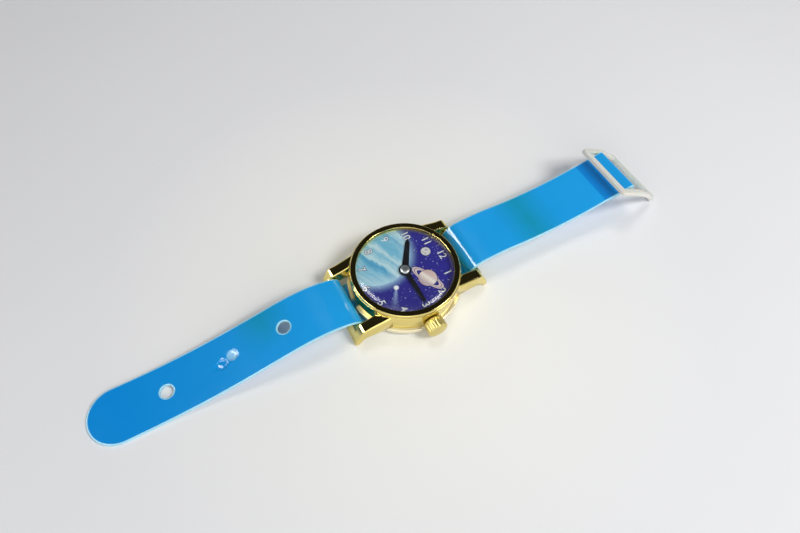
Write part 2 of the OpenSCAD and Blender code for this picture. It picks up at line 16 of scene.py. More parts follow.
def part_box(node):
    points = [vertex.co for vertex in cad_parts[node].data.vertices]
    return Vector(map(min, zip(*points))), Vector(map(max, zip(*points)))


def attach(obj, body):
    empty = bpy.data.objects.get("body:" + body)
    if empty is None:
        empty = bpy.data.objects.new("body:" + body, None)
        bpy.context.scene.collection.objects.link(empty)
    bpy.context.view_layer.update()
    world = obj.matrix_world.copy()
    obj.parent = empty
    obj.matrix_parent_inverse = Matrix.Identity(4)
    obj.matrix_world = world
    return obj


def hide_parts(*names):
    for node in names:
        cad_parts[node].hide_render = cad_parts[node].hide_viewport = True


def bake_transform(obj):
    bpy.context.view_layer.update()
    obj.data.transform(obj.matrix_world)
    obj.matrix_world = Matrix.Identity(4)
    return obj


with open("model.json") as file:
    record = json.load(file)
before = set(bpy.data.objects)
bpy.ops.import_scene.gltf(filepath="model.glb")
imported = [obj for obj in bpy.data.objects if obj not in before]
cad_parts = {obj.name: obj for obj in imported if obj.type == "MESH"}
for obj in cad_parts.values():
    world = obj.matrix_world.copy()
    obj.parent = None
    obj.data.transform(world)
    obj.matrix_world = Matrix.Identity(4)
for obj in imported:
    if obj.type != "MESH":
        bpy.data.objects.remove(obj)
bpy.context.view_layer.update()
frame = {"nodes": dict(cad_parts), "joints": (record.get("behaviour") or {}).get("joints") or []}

bl_info = {
    "name": "Toy Wristwatch Looks",
    "version": (1, 0, 0),
    "blender": (4, 5, 0),
    "location": "View3D > Sidebar > Watch",
    "description": "Builds the visible pieces and finishes of a toy wristwatch on its CAD frame",
    "category": "Object",
}

MM = 0.001
LOW = {node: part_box(node)[0] / MM for node in frame["nodes"]}
HIGH = {node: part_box(node)[1] / MM for node in frame["nodes"]}
HINGE = {joint["name"]: Vector(joint.get("pos_m") or (0, 0, 0)) / MM for joint in frame["joints"]}


def srgb(red, green, blue):
    """Linear colour of an 8-bit display colour."""
    def linear(value):
        value /= 255
        return value / 12.92 if value <= 0.04045 else ((value + 0.055) / 1.055) ** 2.4
    return (linear(red), linear(green), linear(blue), 1.0)


# Settings that a user would change

def length(name, description, millimetres):
    return FloatProperty(name=name, description=description, default=millimetres * MM,
                         min=0.0, subtype="DISTANCE", unit="LENGTH", precision=5)


def colour(name, description, value):
    return FloatVectorProperty(name=name, description=description, default=value, size=4,
                               min=0.0, max=1.0, subtype="COLOR")


def share(name, description, value):
    return FloatProperty(name=name, description=description, default=value,
                         min=0.0, max=1.0, subtype="FACTOR")


def power(name, description, watts, unit="POWER"):
    return FloatProperty(name=name, description=description, default=watts, min=0.0, unit=unit)


class WatchCaseSettings(bpy.types.PropertyGroup):
    """Sizes and plating of the case, bezel, crown and case back."""
    wall_radius: length("Wall radius", "Radius of the round case wall", HIGH["case_body"].x)
    lug_gap: length("Lug gap", "Distance from the middle to the inner face of a lug", 7.5)
    lug_root: length("Lug root width", "Width of a lug where it leaves the wall", 3.3)
    lug_end: length("Lug end width", "Width of a lug at its outer end", 2.65)
    lug_bevel: length("Lug bevel", "Size of the rounding along the upper edges of a lug", 0.42)
    crown_ribs: IntProperty(name="Crown ribs", description="Number of ribs round the crown",
                            default=18, min=8)
    plating: colour("Plating", "Colour of the gold plating", (0.78, 0.65, 0.23, 1.0))
    roughness: share("Plating roughness", "Roughness of the gold plating", 0.07)


class WatchDialSettings(bpy.types.PropertyGroup):
    """Print of the dial, its numerals and the hands."""
    numeral_height: length("Numeral height", "Height of the dial's numerals", 2.05)
    numeral_circle: length("Numeral circle", "Radius of the circle that the numerals stand on", 10.95)
    night: colour("Night sky", "Deep colour of the dial's sky", srgb(40, 34, 136))
    globe: colour("Globe", "Pale colour of the dial's large globe", srgb(120, 190, 218))
    cream: colour("Cream", "Colour of the dial's ringed planet", srgb(232, 208, 196))
    enamel: colour("Hand enamel", "Colour of the hands", (0.006, 0.006, 0.008, 1.0))


class WatchStrapSettings(bpy.types.PropertyGroup):
    """Sizes and vinyl of the strap."""
    width: length("Width", "Width of the strap", HIGH["strap_hole_end"].x - LOW["strap_hole_end"].x)
    thickness: length("Thickness", "Thickness of the strap", 0.6)
    edge: length("Edge rounding", "Rounding of the strap's cut edges", 0.12)
    hole_radius: length("Hole radius", "Radius of the strap holes", 1.6)
    vinyl: colour("Vinyl", "Colour of the strap", srgb(33, 160, 233))
    # Painted light: the cut edges are paler, standing for light glowing through the vinyl
    cut: colour("Cut edge", "Colour of the strap's cut edges", srgb(150, 214, 238))


class WatchBuckleSettings(bpy.types.PropertyGroup):
    """Sizes and plastic of the buckle."""
    frame_thickness: length("Frame thickness", "Thickness of the buckle's arched frame", 1.2)
    arm_width: length("Arm width", "Width of the buckle's side arms", 1.8)
    arch_radius: length("Arch radius", "Radius that the buckle is curved to", 44)
    plastic: colour("Plastic", "Colour of the buckle", srgb(214, 215, 207))


class WatchStageSettings(bpy.types.PropertyGroup):
    """Floor and lamps."""
    floor: colour("Floor", "Colour of the floor", srgb(234, 235, 239))
    # Painted pool of light: the floor round the watch is paler and warmer
    floor_near: colour("Floor with painted light round the watch", "Colour of the floor round the watch", srgb(245, 245, 241))
    key: power("Right lamp", "Power of the right lamp", 2.25)
    rim: power("Left lamp", "Power of the left lamp", 0.48)
    fill: power("Front lamp", "Power of the front lamp", 2.4)
    card: power("Cards", "Power of a square metre of the window card and the strap card", 40.0, "NONE")
    side_card: power("Left cards", "Power of a square metre of the two left cards", 32.0, "NONE")


SETTINGS = {
    "watch_case": WatchCaseSettings,
    "watch_dial": WatchDialSettings,
    "watch_strap": WatchStrapSettings,
    "watch_buckle": WatchBuckleSettings,
    "watch_stage": WatchStageSettings,
}


# Shader arithmetic

class Value:
    """A socket of a shader tree. Arithmetic on it adds Math nodes."""

    def __init__(self, tree, socket):
        self.tree = tree
        self.socket = socket

    def other(self, name):
        """Another output of the same node."""
        return Value(self.tree, self.socket.node.outputs[name])

    def maths(self, operation, *values, clamp=False):
        node = self.tree.nodes.new("ShaderNodeMath")
        node.operation = operation
        node.use_clamp = clamp
        for slot, value in zip(node.inputs, values):
            plug(self.tree, slot, value)
        return Value(self.tree, node.outputs[0])

    def __add__(self, other):
        return self.maths("ADD", self, other)

    def __sub__(self, other):
        return self.maths("SUBTRACT", self, other)

    def __rsub__(self, other):
        return self.maths("SUBTRACT", other, self)

    def __mul__(self, other):
        return self.maths("MULTIPLY", self, other)

    def __truediv__(self, other):
        return self.maths("DIVIDE", self, other)

    def __abs__(self):
        return self.maths("ABSOLUTE", self)

    __radd__ = __add__
    __rmul__ = __mul__

    def above(self, limit):
        return self.maths("GREATER_THAN", self, limit)

    def below(self, limit):
        return self.maths("LESS_THAN", self, limit)

    def least(self, other):
        return self.maths("MINIMUM", self, other)

    def most(self, other):
        return self.maths("MAXIMUM", self, other)

    def root(self):
        return self.maths("SQRT", self)

    def held(self):
        """The value kept between 0 and 1."""
        return self.maths("ADD", self, 0.0, clamp=True)


def plug(tree, slot, value):
    if isinstance(value, Value):
        tree.links.new(value.socket, slot)
    else:
        slot.default_value = value


class Nodes:
    """A shader tree, with short ways to add nodes to it."""

    def __init__(self, tree):
        self.tree = tree

    def add(self, kind, settings=None, values=None, out=0):
        """Adds one node: settings first, then the values or links of its sockets."""
        node = self.tree.nodes.new(kind)
        for name, setting in (settings or {}).items():
            if name == "stops":
                ramp = node.color_ramp.elements
                while len(ramp) < len(setting):
                    ramp.new(1.0)
                for stop, (position, tint) in zip(ramp, setting):
                    stop.position = position
                    stop.color = tint
            else:
                setattr(node, name, setting)
        for name, value in (values or {}).items():
            plug(self.tree, node.inputs[name], value)
        return Value(self.tree, node.outputs[out])

    def axes(self, vector):
        """The three parts of a vector or of a colour."""
        x = self.add("ShaderNodeSeparateXYZ", values={0: vector}, out="X")
        return x, x.other("Y"), x.other("Z")

    def noise(self, vector, scale, detail=2.0, roughness=0.5):
        return self.add("ShaderNodeTexNoise", values={"Vector": vector, "Scale": scale, "Detail": detail,
                                                      "Roughness": roughness})

    def stretched(self, vector, x, y, z):
        return self.add("ShaderNodeVectorMath", {"operation": "MULTIPLY"}, {0: vector, 1: (x, y, z)})

    def mix(self, share_of_b, a, b):
        return self.add("ShaderNodeMix", {"data_type": "RGBA"}, {0: share_of_b, 6: a, 7: b}, out=2)

    def ramp(self, value, *stops):
        return self.add("ShaderNodeValToRGB", {"stops": stops}, {0: value})


class Finish(Nodes):
    """A material in the making, with its surface shader."""

    def __init__(self, name, **constants):
        self.material = bpy.data.materials.new(name)
        self.material.use_nodes = True
        super().__init__(self.material.node_tree)
        self.shader = self.tree.nodes["Principled BSDF"]
        self.set(**constants)

    def set(self, **sockets):
        """Sets or links the surface shader's sockets, named with _ for a space."""
        for name, value in sockets.items():
            plug(self.tree, self.shader.inputs[name.replace("_", " ")], value)

    def place(self):
        """Position on the object, in millimetres."""
        where = self.add("ShaderNodeTexCoord", out="Object")
        return self.add("ShaderNodeVectorMath", {"operation": "SCALE"}, {0: where, "Scale": 1 / MM})

    def bump(self, height, strength, distance):
        """Bump of the given height, with its distance in millimetres."""
        values = {"Height": height, "Strength": strength, "Distance": distance * MM}
        self.set(Normal=self.add("ShaderNodeBump", values=values))

    def show_mix(self, factor, first, second):
        """Shows a mix of two shaders. None stands for the surface shader."""
        own = Value(self.tree, self.shader.outputs[0])
        mixed = self.add("ShaderNodeMixShader", values={0: factor, 1: first or own, 2: second or own})
        plug(self.tree, self.tree.nodes["Material Output"].inputs["Surface"], mixed)


FINISHES = {}


def finish(maker):
    """The material that a finish function makes, made on first use."""
    if maker not in FINISHES:
        FINISHES[maker] = maker().material
    return FINISHES[maker]


def scaled(tint, factor):
    return tuple(min(1.0, channel * factor) for channel in tint[:3]) + (1.0,)


def mottled(name, dark, light, cloud, grain, rough, bump, detail=3.0, **constants):
    """A finish clouded between two colours, with a fine grain in its gloss and its surface.

    The cloud and the grain are scales of noise, rough is the least roughness and what the grain
    adds to it, and bump is a strength and a height in millimetres.
    """
    skin = Finish(name, **constants)
    place = skin.place()
    grains = skin.noise(place, grain)
    skin.set(Base_Color=skin.mix(skin.noise(place, cloud, detail), dark, light),
             Roughness=rough[0] + grains * rough[1])
    skin.bump(grains, *bump)
    return skin


def finish_gold_plate():
    case = bpy.context.scene.watch_case
    gold = Finish("gold plate", Metallic=1.0)
    place = gold.place()
    cloud = gold.noise(place, 0.35, 3.0)
    peel = gold.noise(place, 2.2, 2.0)
    hair = gold.noise(gold.stretched(place, 9.0, 0.7, 2.0), 1.0, 3.0, 0.7)
    scratch = ((hair - 0.62) * 5.0).held()
    gold.set(Base_Color=gold.mix(cloud, scaled(case.plating, 0.94), scaled(case.plating, 1.07)),
             Roughness=case.roughness + cloud * 0.05 + scratch * 0.1)
    gold.bump(peel + hair * 0.25, 0.12, 0.02)
    return gold


def finish_satin_gold():
    """Plating of the crown: rougher than the case's plating, and darkened as painted shade."""
    plating = bpy.context.scene.watch_case.plating
    return mottled("satin gold with painted shade", scaled(plating, 0.8), scaled(plating, 0.9), cloud=0.6, grain=5.0,
                   rough=(0.28, 0.14), bump=(0.1, 0.02), Metallic=0.75)


def finish_pale_gold():
    """Plating of the case back: rougher and less metallic than the case's plating, and paler as painted
    light on its upward-facing flange.
    """
    pale = [0.45 + 0.55 * channel for channel in bpy.context.scene.watch_case.plating]
    return mottled("pale gold with painted light", scaled(pale, 0.94), scaled(pale, 1.04), cloud=0.4, grain=6.0,
                   rough=(0.24, 0.12), bump=(0.1, 0.02), Metallic=0.55)


def finish_vinyl():
    strap = bpy.context.scene.watch_strap
    vinyl = Finish("blue vinyl", Specular_IOR_Level=0.35, Coat_Weight=0.3, Coat_Roughness=0.03)
    place = vinyl.place()
    # Share of painted shade, from a mark made when the strap is bent
    doubled = vinyl.add("ShaderNodeAttribute", {"attribute_name": "doubled"}, out="Fac")
    cloud = vinyl.noise(place, 0.09)
    grain = vinyl.noise(place, 9.0)
    wave = vinyl.noise(vinyl.stretched(place, 1.0, 0.6, 1.0), 0.22, 1.0)
    x, y, _ = vinyl.axes(place)
    # A teal patch halfway along each half, which fades away from the -X edge on the half with holes
    patch_y, patch_reach, fade_from, fade_reach = 37.5, 8.0, -7.0, 11.0
    hole_half = (y * -10.0).held()
    fade = 1 - hole_half * ((x - fade_from) / fade_reach).held()
    teal = (1 - abs(abs(y) - patch_y) / patch_reach).held() * (0.35 + cloud) * fade
    # The half with holes is deeper in colour towards its tip
    deep_from, deep_reach = -20.0, 55.0
    deeper = ((deep_from - y) / deep_reach).held() * 0.9
    tint = vinyl.mix(cloud, scaled(strap.vinyl, 0.93), scaled(strap.vinyl, 1.06))
    tint = vinyl.mix(deeper, tint, srgb(10, 140, 224))
    tint = vinyl.mix(teal * 0.85, tint, srgb(22, 146, 168))
    # Painted shade: a darker blue on the strap beside the loop, where its tail lies below it
    tint = vinyl.mix(doubled * 0.55, tint, srgb(10, 98, 190))
    speck = ((vinyl.noise(place, 1.6) - 0.64) * 8.0).held()
    vinyl.set(Base_Color=tint, Roughness=0.1 + grain * 0.04 + speck * 0.06)
    vinyl.bump(wave * 6.0 + grain * 0.12, 0.2, 0.05)
    return vinyl


# Painted light: a pale glow on the strap's cut edges and a band beside them, for light passing through the
# vinyl
def finish_vinyl_cut():
    cut = bpy.context.scene.watch_strap.cut
    return mottled("vinyl painted edge glow", scaled(cut, 0.88), scaled(cut, 1.1), cloud=0.8, grain=12.0,
                   rough=(0.3, 0.12), bump=(0.2, 0.02), detail=2.0, Coat_Weight=0.2)


def finish_vinyl_pressed():
    """Vinyl that a blunt punch has pressed and whitened."""
    pressed = Finish("pressed vinyl", Coat_Weight=0.5, Coat_Roughness=0.05)
    cloud = pressed.noise(pressed.place(), 1.3, 3.0, 0.6)
    pressed.set(Base_Color=pressed.mix(cloud, srgb(84, 172, 234), srgb(168, 220, 246)),
                Roughness=0.2 + cloud * 0.1)
    pressed.bump(cloud, 0.2, 0.05)
    return pressed


def finish_buckle_plastic():
    plastic = bpy.context.scene.watch_buckle.plastic
    return mottled("buckle plastic", scaled(plastic, 0.93), scaled(plastic, 1.05), cloud=0.25, grain=7.0,
                   rough=(0.28, 0.12), bump=(0.15, 0.02), Subsurface_Weight=0.25, Subsurface_Scale=0.0012)


def finish_black_enamel():
    enamel = bpy.context.scene.watch_dial.enamel
    return mottled("black enamel", enamel, scaled(enamel, 2.4), cloud=0.8, grain=10.0,
                   rough=(0.26, 0.14), bump=(0.1, 0.01), Coat_Weight=0.5, Coat_Roughness=0.08)


def finish_rivet_metal():
    return mottled("rivet metal", (0.62, 0.63, 0.63, 1.0), (0.78, 0.79, 0.78, 1.0), cloud=1.5, grain=14.0,
                   rough=(0.3, 0.14), bump=(0.1, 0.01), Metallic=1.0)


def finish_gear_plastic():
    return mottled("gear plastic", srgb(222, 221, 210), srgb(238, 237, 228), cloud=0.5, grain=8.0,
                   rough=(0.4, 0.15), bump=(0.2, 0.02), Subsurface_Weight=0.1, Subsurface_Scale=0.0008)


def finish_clear_window():
    """Clear plastic: what is behind it shows, and its gloss grows towards grazing angles."""
    clear = Finish("clear window", Metallic=1.0, Base_Color=(1.0, 1.0, 1.0, 1.0))
    smear = clear.noise(clear.place(), 0.6, 3.0)
    clear.set(Roughness=0.16 + smear * 0.05)
    through = clear.add("ShaderNodeBsdfTransparent", values={"Color": (0.97, 0.985, 0.99, 1.0)})
    gloss = clear.add("ShaderNodeFresnel", values={"IOR": 1.49})
    outside = 1 - clear.add("ShaderNodeNewGeometry", out="Backfacing")
    clear.show_mix(gloss * outside, through, None)
    return clear


def finish_dial_print():
    """Printed card: a pale banded globe, a ringed planet, a small moon, a comet and stars on a deep sky."""
    dial = bpy.context.scene.watch_dial
    card = Finish("dial print", Coat_Weight=0.15, Coat_Roughness=0.2)
    place = card.place()
    x, y, _ = card.axes(place)
    comet_at, globe_at, moon_at, planet_at = (3.3, -4.3), (-8.2, -4.9), (-2.7, 7.6), (4.5, 4.1)
    outline = srgb(36, 32, 74)

    def gap(at, radius):
        """Distance outside a circle."""
        return ((x - at[0]) * (x - at[0]) + (y - at[1]) * (y - at[1])).root() - radius

    def inside(distance, blur=0.12):
        return (0.5 - distance / blur).held()

    def turned(at, degrees):
        """Coordinates about a point, along and across a direction."""
        c, s = math.cos(math.radians(degrees)), math.sin(math.radians(degrees))
        return (x - at[0]) * c + (y - at[1]) * s, (y - at[1]) * c - (x - at[0]) * s

    cloud = card.noise(place, 0.16, 3.0)
    height = (cloud * 0.7 + (y + 12.0) * 0.015).held()
    art = card.mix(height, scaled(dial.night, 0.8), scaled(dial.night, 1.25))

    # Stars of two sizes, in some of the cells of a random pattern
    for scale, size, chosen in ((0.5, 0.06, 0.4), (1.1, 0.075, 0.62)):
        cell = card.add("ShaderNodeTexVoronoi", {"voronoi_dimensions": "2D"},
                        {"Vector": place, "Scale": scale, "Randomness": 1.0})
        pick = card.axes(cell.other("Color"))[0].above(chosen)
        star = inside(cell.other("Distance") - size, 0.05) * pick
        art = card.mix(star * 0.75, art, srgb(226, 226, 248))

    # The comet's tail and head
    run, wide = turned(comet_at, -32)
    tail = (1 - abs(wide) / (0.3 + run.most(0.0) * 0.17)).held() * (1 - run / 6.2).held() * run.above(0.0)
    art = card.mix(tail * 0.8, art, srgb(190, 214, 246))
    art = card.mix(inside(gap(comet_at, 0.62), 0.3), art, srgb(250, 250, 246))

    # The large globe, with a soft glow outside its limb
    limb = gap(globe_at, 9.4)
    glow = (1 - limb / 2.6).held()
    art = card.mix(glow * glow * 0.85, art, srgb(168, 208, 236))
    across = turned(globe_at, 24)[1]
    swirl = card.noise(card.stretched(place, 0.5, 1.0, 1.0), 0.5, 4.0, 0.6)
    bands = card.add("ShaderNodeTexNoise", {"noise_dimensions": "1D"},
                     {"W": across * 0.42 + swirl * 1.3, "Scale": 1.0, "Detail": 3.0})
    globe = card.ramp(bands, (0.28, srgb(62, 150, 196)), (0.45, tuple(dial.globe)),
                      (0.6, srgb(176, 216, 228)), (0.74, srgb(240, 246, 246)))
    globe = card.mix(((limb + 3.2) / 3.2).held() * 0.5, globe, srgb(216, 236, 242))
    art = card.mix(inside(limb, 0.25), art, globe)

    # The small moon
    moon = gap(moon_at, 1.25)
    crater = gap((-3.1, 7.9), 0.34).least(gap((-2.2, 7.2), 0.24)).least(gap((-2.9, 6.9), 0.16))
    face = card.mix(inside(crater), srgb(222, 218, 214), srgb(176, 172, 184))
    art = card.mix(inside(moon - 0.14), art, outline)
    art = card.mix(inside(moon), art, face)

    # The ringed planet: far half of the ring, the ball, then the near half of the ring
    run, wide = turned(planet_at, 24)
    ball = gap(planet_at, 2.35)
    hoop = (run * run + wide * wide * 9.5).root()
    ring = inside(abs(hoop - 4.1) - 0.72)
    line = inside(abs(abs(hoop - 4.1) - 0.78) - 0.09)
    split = inside(abs(hoop - 4.15) - 0.12)
    ring_tint = card.mix(split, srgb(226, 206, 204), srgb(120, 96, 132))
    stripe = card.ramp((wide * 0.2 + 0.5 + swirl * 0.05).held(), (0.1, srgb(176, 140, 150)),
                       (0.42, tuple(dial.cream)), (0.55, srgb(246, 236, 226)), (0.72, srgb(214, 178, 170)))
    stripe = card.mix(((run + 2.4) * 0.2).held() * 0.35, stripe, srgb(250, 246, 240))
    ball_art = card.mix(inside(ball), outline, stripe)
    behind = card.mix(ring, card.mix(line, art, outline), ring_tint)
    art = card.mix(inside(ball - 0.14), behind, ball_art)
    front = card.mix(ring, card.mix(line, art, outline), ring_tint)
    art = card.mix(wide.below(0.0), art, front)

    grain = card.noise(place, 16.0)
    card.set(Base_Color=art, Roughness=0.38 + grain * 0.12)
    card.bump(grain, 0.1, 0.01)
    return card


def ink(name, dark, light):
    paint = Finish(name)
    cloud = paint.noise(paint.place(), 2.5, 3.0)
    paint.set(Base_Color=paint.mix(cloud, dark, light), Roughness=0.35 + cloud * 0.1)
    return paint


def finish_white_ink():
    return ink("white ink", srgb(224, 226, 236), srgb(244, 245, 250))


def finish_dark_ink():
    return ink("dark ink", srgb(26, 24, 66), srgb(40, 38, 92))


HORIZON = (0.62, 0.62, 0.62, 1.0)
# Distances from the watch where the floor's painted pool of light begins to give way, where the floor has
# its own colour, where it begins to fade and where it is haze
FLOOR_NEAR, FLOOR_PLAIN, FLOOR_FADE, FLOOR_HAZE = 22.0, 80.0, 120.0, 380.0


def finish_floor():
    stage = bpy.context.scene.watch_stage
    floor = Finish("pale floor", Specular_IOR_Level=0.2)
    place = floor.place()
    cloud = floor.noise(place, 0.012, 3.0)
    grain = floor.noise(place, 0.9, 3.0)
    x, y, _ = floor.axes(place)
    away = (x * x + y * y).root()
    # Painted pool of light: the floor is paler and warmer round the watch, falling off to its plain colour
    plain = ((away - FLOOR_NEAR) / (FLOOR_PLAIN - FLOOR_NEAR)).held()
    paper_with_painted_light = floor.mix(plain, stage.floor_near, stage.floor)
    floor.set(Base_Color=floor.mix(cloud * 0.05, paper_with_painted_light, (0.0, 0.0, 0.0, 1.0)), Roughness=0.6 + grain * 0.15)
    floor.bump(grain, 0.05, 0.05)
    # Far from the watch the floor is seen as pale as the horizon
    far = ((away - FLOOR_FADE) / (FLOOR_HAZE - FLOOR_FADE)).held()
    path = floor.add("ShaderNodeLightPath", out="Is Camera Ray")
    seen = path.most(path.other("Is Glossy Ray")).most(path.other("Is Transmission Ray"))
    haze = floor.add("ShaderNodeEmission", values={"Color": HORIZON})
    floor.show_mix(far * far * (3 - far * 2) * seen, None, haze)
    floor.material.cycles.emission_sampling = "NONE"
    return floor


# Outlines and meshes

def rounded(*corners, steps=5):
    """Closed outline through corners given as (a, b, rounding radius)."""
    points = []
    for k, (a, b, radius) in enumerate(corners):
        corner = Vector((a, b))
        if not radius:
            points.append(corner)
            continue
        back = (Vector(corners[k - 1][:2]) - corner).normalized()
        ahead = (Vector(corners[(k + 1) % len(corners)][:2]) - corner).normalized()
        half = back.angle(ahead) / 2
        reach = radius / math.tan(half)
        middle = corner + (back + ahead).normalized() * (radius / math.sin(half))
        first = corner + back * reach - middle
        final = corner + ahead * reach - middle
        turn = first.angle_signed(final)
        for step in range(steps + 1):
            points.append(middle + Matrix.Rotation(-turn * step / steps, 2) @ first)
    return points


def arc(cx, cy, radius, start, end, steps):
    """Points of an arc between two angles in degrees."""
    angles = [math.radians(start + (end - start) * k / steps) for k in range(steps + 1)]
    return [Vector((cx + radius * math.cos(a), cy + radius * math.sin(a))) for a in angles]


def hole_outline(cx, cy, radius, points):
    """A clockwise circle."""
    return arc(cx, cy, radius, 0, 360, points)[-2::-1]


def inset(outline, distances):
    """Moves each point of an outline to its left, which is into the material, by its own distance."""
    moved = []
    count = len(outline)
    for k, point in enumerate(outline):
        before = (point - outline[k - 1]).normalized()
        after = (outline[(k + 1) % count] - point).normalized()
        left_before = Vector((-before.y, before.x))
        left_after = Vector((-after.y, after.x))
        slant = (left_before + left_after) / max(0.3, 1 + left_before.dot(left_after))
        moved.append(point + slant * distances[k])
    return moved


def add_rings(bm, rings, joined=False, caps=False):
    """Adds a skin over rings of points, each ring closed. It can be joined into a hoop or capped."""
    loops = [[bm.verts.new(point) for point in ring] for ring in rings]
    pairs = list(zip(loops, loops[1:]))
    if joined:
        pairs.append((loops[-1], loops[0]))
    for low, high in pairs:
        for k in range(len(low)):
            n = (k + 1) % len(low)
            bm.faces.new((low[k], low[n], high[n], high[k]))
    if caps:
        bm.faces.new(loops[0])
        bm.faces.new(loops[-1])
    return loops


FINE_ROUND = 192


def around(count):
    """Evenly spaced angles round a full turn."""
    return [2 * math.pi * k / count for k in range(count)]


def quarter(steps):
    """Pairs (1 - sin, 1 - cos) over a quarter turn, for rounding an edge."""
    angles = [math.pi / 2 * k / steps for k in range(steps + 1)]
    return [(1 - math.sin(a), 1 - math.cos(a)) for a in angles]


def spun(profile, angle):
    """A (radius, height) outline turned about Z."""
    return [(r * math.cos(angle), r * math.sin(angle), h) for r, h in profile]


def revolve(bm, profile, segments=FINE_ROUND):
    """Turns a closed (radius, height) outline round Z."""
    add_rings(bm, [spun(profile, a) for a in around(segments)], joined=True)


def plate(bm, outlines, low, high, rounding, steps=4, dents=(), band=0.0, edge_index=0):
    """Adds a plate between two heights, with rounded edges.

    The first outline runs anticlockwise and the holes run clockwise. Each dent is a clockwise
    outline that only opens the upper face. The edges, and a flat band beside them, take the
    material of edge_index.
    """
    def edges_of(loop):
        pairs = [(loop[k - 1], loop[k]) for k in range(len(loop))]
        return [bm.edges.get(pair) or bm.edges.new(pair) for pair in pairs]

    top, bottom = [], []
    for outline in outlines:
        levels = [(rounding * sink, rounding * pull) for pull, sink in quarter(steps)]
        if band:
            levels.append((rounding + band, 0.0))
        rings = []
        for depth, drop in [(d, low + h) for d, h in reversed(levels)] + [(d, high - h) for d, h in levels]:
            rings.append([(p.x, p.y, drop) for p in inset(outline, [depth] * len(outline))])
        loops = add_rings(bm, rings)
        bottom += edges_of(loops[0])
        top += edges_of(loops[-1])
    for face in bm.faces:
        face.material_index = edge_index
    for dent in dents:
        loop = [bm.verts.new((p.x, p.y, high)) for p in dent]
        top += edges_of(loop)
    bmesh.ops.triangle_fill(bm, use_beauty=True, use_dissolve=False, edges=bottom)
    bmesh.ops.triangle_fill(bm, use_beauty=True, use_dissolve=False, edges=top)


def slice_along(bm, stations):
    """Cuts the mesh square to Y at each station, so that it can bend there."""
    for station in stations:
        bmesh.ops.bisect_plane(bm, geom=bm.verts[:] + bm.edges[:] + bm.faces[:], dist=1e-6,
                               plane_co=(0, station, 0), plane_no=(0, 1, 0))


def finish_piece(bm, name, finishes, body, replaced=(), crease=38):
    bmesh.ops.remove_doubles(bm, verts=bm.verts, dist=1e-5)
    bmesh.ops.recalc_face_normals(bm, faces=bm.faces)
    bmesh.ops.scale(bm, vec=(MM, MM, MM), verts=bm.verts)
    mesh = bpy.data.meshes.new(name)
    bm.to_mesh(mesh)
    bm.free()
    for maker in finishes:
        mesh.materials.append(finish(maker))
    mesh.shade_smooth()
    mesh.set_sharp_from_angle(angle=math.radians(crease))
    piece = bpy.data.objects.new(name, mesh)
    bpy.context.scene.collection.objects.link(piece)
    piece.modifiers.new("even shading", "WEIGHTED_NORMAL").keep_sharp = True
    if isinstance(body, str):
        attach(piece, body)
    else:
        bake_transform(piece)
    if replaced:
        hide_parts(*replaced)


def paint_nodes(maker, *nodes):
    """Gives its finish to nodes that keep their CAD mesh."""
    for node in nodes:
        materials = frame["nodes"][node].data.materials
        materials.clear()
        materials.append(finish(maker))


# Case, bezel, crystal, case back and crown

# Side view of a lug as (y, z): the ends of its top, the lean and bulge of its end, and the arch below it
LUG_TOP_ROOT = Vector((8.52, 7.09))
LUG_TOP_TIP = Vector((16.9, 5.45))
LUG_END_RUN = 2.3
END_BULGE = 1.6
ARCH_Y, ARCH_Z, ARCH_START = 15.1, -0.75, 14.6
# Underside of the case wall, and the rounded top of an end plate
WALL_Z = 2.23
PLATE_TOP = Vector((HINGE["strap_buckle_hinge"].y, HINGE["strap_buckle_hinge"].z))
PLATE_TOP_R = 1.1
# Width of the bezel's top, and the gap between it and the window
BEZEL_WIDTH = 1.35
WINDOW_GAP = 0.08


def end_face(top, steps):
    """The bulging end of a lug, from a height down to the table, as (y, z)."""
    shares = [top / LUG_TOP_TIP.y * (1 - k / steps) for k in range(steps + 1)]
    return [Vector((LUG_TOP_TIP.x + LUG_END_RUN * (1 - f ** END_BULGE), LUG_TOP_TIP.y * f)) for f in shares]


def lug_profile(root_y, bevel, widening):
    """Side outline of a lug as (y, z), anticlockwise, and the rounding of each of its points."""
    tip_round, face_top = 0.5, 4.9
    fall = LUG_TOP_TIP - LUG_TOP_ROOT
    root = Vector((root_y, LUG_TOP_ROOT.y + fall.y / fall.x * (root_y - LUG_TOP_ROOT.x)))
    crest = LUG_TOP_TIP - fall.normalized() * tip_round
    face = end_face(face_top, 9)
    top = [root.lerp(crest, k / 5) for k in range(6)]
    knee = [crest.lerp(LUG_TOP_TIP, 0.45), LUG_TOP_TIP.lerp(face[0], 0.3), LUG_TOP_TIP.lerp(face[0], 0.62)]
    arch = arc(ARCH_Y, ARCH_Z, WALL_Z - ARCH_Z, ARCH_START, 90, 9)
    points = [Vector((root_y, WALL_Z))] + top + knee + face + arch
    sizes = [0.0, 0.0] + [bevel * widening] * 4 + [bevel] * 4
    sizes += [bevel * 0.8] * len(face) + [bevel * 0.35] * (len(arch) - 2) + [0.1, 0.1]
    return points[::-1], sizes[::-1]


